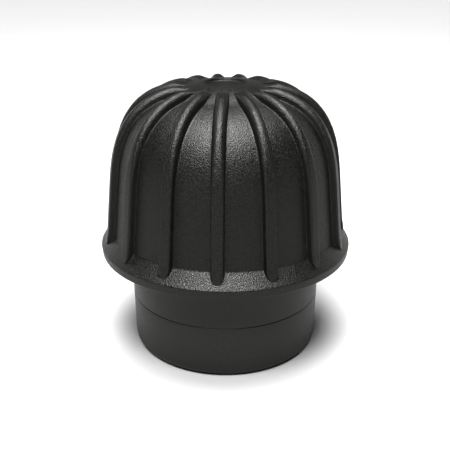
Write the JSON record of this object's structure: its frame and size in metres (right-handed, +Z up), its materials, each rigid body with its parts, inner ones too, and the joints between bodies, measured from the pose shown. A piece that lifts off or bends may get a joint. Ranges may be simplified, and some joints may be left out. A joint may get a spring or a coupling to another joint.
{
  "type": "pneumatic muffler",
  "caption": "Slip-on exhaust muffler for compressed air, with a ribbed dome, a skirted outlet ring and a split collar.",
  "frame": {"origin": "centre of the collar's lower face, where the muffler stands and where the socket opens", "axes": "+Z up along the socket and dome axis to the crown; one rib and one cover screw lie towards -Y; the relief bridge's feet lie along X"},
  "size_m": [0.0886, 0.0886, 0.0942],
  "materials": {
    "dome_plastic": "black glass-filled nylon with a fine spark-eroded grain",
    "collar_plastic": "black nylon, smoother than the dome",
    "seal_rubber": "black nitrile",
    "stainless_sheet": "satin rolled sheet",
    "zinc_plate": "bright zinc plate on pressed steel",
    "spring_steel": "drawn wire",
    "knitted_wire": "flattened knitted stainless wire",
    "felt": "dense off-white wool felt",
    "rivet_aluminium": "plain aluminium",
    "turned_brass": "fine turned brass",
    "screw_steel": "zinc-plated screws"
  },
  "bodies": {
    "root": {"cover_gasket": "seal_rubber", "body_ring": "collar_plastic", "base_cup": "collar_plastic", "base_seal": "seal_rubber", "port_seal": "seal_rubber", "retaining_ring": "spring_steel", "inlet_screen": "stainless_sheet", "lower_plate": "zinc_plate", "diffuser_tube": "stainless_sheet", "knit_sleeve": "knitted_wire", "felt_ring_lower": "felt", "felt_ring_middle": "felt", "felt_ring_upper": "felt", "outer_cage": "stainless_sheet", "upper_plate": "zinc_plate", "relief_bridge": "stainless_sheet", "bridge_rivets": "rivet_aluminium", "relief_spring": "spring_steel", "cover_screws": "screw_steel", "base_screws": "screw_steel"},
    "cover": {"dome_cover": "dome_plastic"},
    "relief": {"relief_poppet": "turned_brass", "relief_seal": "seal_rubber", "relief_clip": "spring_steel"}
  },
  "joints": [
    {"name": "cover_lift", "type": "slide", "parent": "root", "child": "cover", "axis": [0, 0, 1], "range_m": [0, 0.06]},
    {"name": "relief_lift", "type": "slide", "parent": "root", "child": "relief", "axis": [0, 0, 1], "range_m": [0, 0.003], "stiffness_N_per_m": 800, "springref_m": -0.003, "deforming": ["relief_spring"]}
  ]
}
